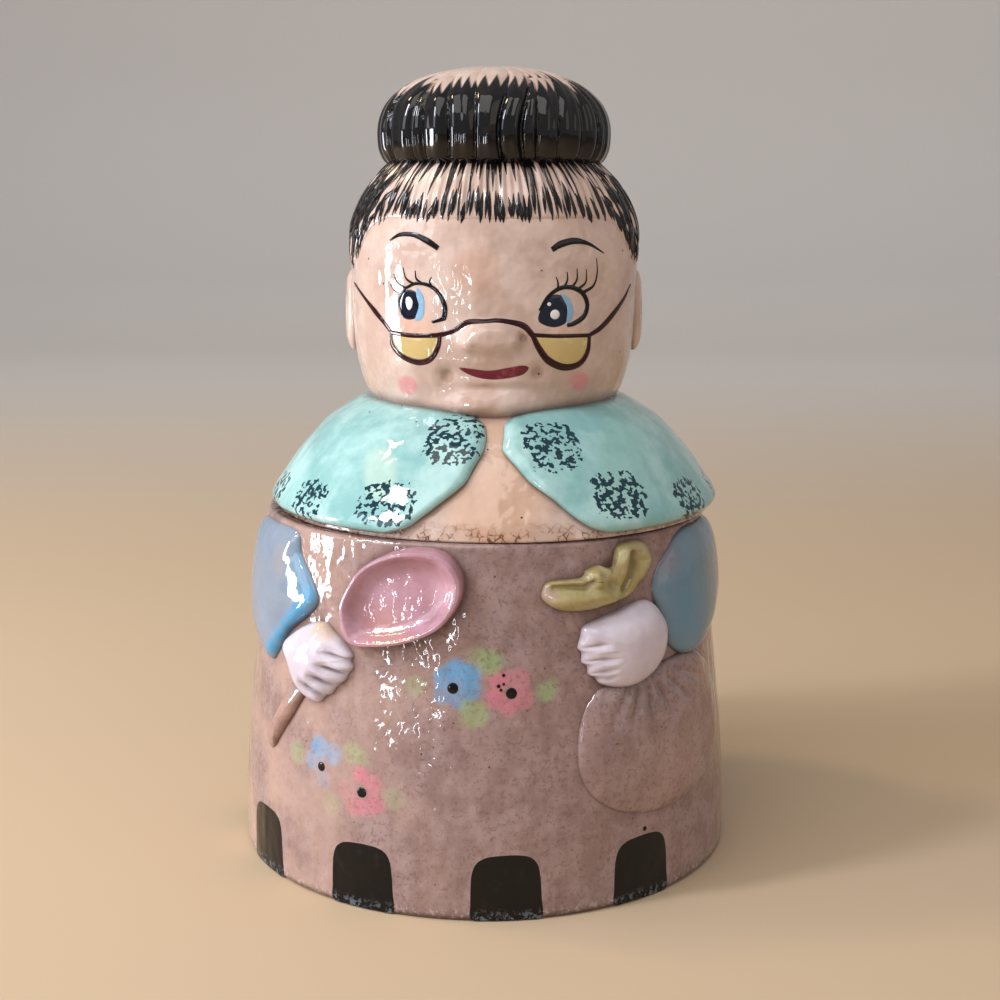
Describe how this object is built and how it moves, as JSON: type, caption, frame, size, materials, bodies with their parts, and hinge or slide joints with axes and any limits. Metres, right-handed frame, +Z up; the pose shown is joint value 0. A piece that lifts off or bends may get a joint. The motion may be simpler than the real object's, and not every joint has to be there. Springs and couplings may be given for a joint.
{
  "type": "bacon grease container",
  "caption": "Ceramic figure jar for bacon grease: skirt-shaped jar, head-and-shoulders lift-off lid, lift-out strainer.",
  "frame": {"origin": "middle of the foot ring, on the surface that the jar stands on", "axes": "+Z up, -Y the way the figure faces, +X to a viewer's right in front of it"},
  "size_m": [0.1124, 0.1124, 0.1728],
  "materials": {
    "mauve_glaze": "mottled gloss glaze over a sprayed underglaze",
    "blue_sleeve_glaze": "gloss glaze over sprayed blue",
    "hand_glaze": "gloss glaze over pinkish white",
    "pink_spoon_glaze": "gloss glaze over pink",
    "bacon_glaze": "gloss glaze over olive yellow",
    "flesh_glaze": "gloss glaze over sprayed peach",
    "aqua_cape_glaze": "gloss glaze over aqua with sponged marks",
    "black_hair_glaze": "gloss black brushed over the modelled locks",
    "strainer_aluminium": "pressed sheet, satin"
  },
  "bodies": {
    "jar": {"jar_body": "mauve_glaze", "right_sleeve": "blue_sleeve_glaze", "left_sleeve": "blue_sleeve_glaze", "right_hand": "hand_glaze", "left_hand": "hand_glaze", "spoon_bowl": "pink_spoon_glaze", "spoon_handle": "mauve_glaze", "bacon_rasher": "bacon_glaze", "grease_sack": "mauve_glaze"},
    "strainer": {"strainer": "strainer_aluminium"},
    "lid": {"head": "flesh_glaze", "shoulders": "flesh_glaze", "cape_collar": "aqua_cape_glaze", "hair_cap": "black_hair_glaze", "hair_bun": "black_hair_glaze", "right_ear": "flesh_glaze", "left_ear": "flesh_glaze"}
  },
  "joints": [
    {"name": "strainer_lift", "type": "slide", "parent": "jar", "child": "strainer", "axis": [0, 0, 1], "range_m": [0, 0.045]},
    {"name": "lid_lift", "type": "slide", "parent": "strainer", "child": "lid", "axis": [0, 0, 1], "range_m": [0, 0.05]}
  ]
}
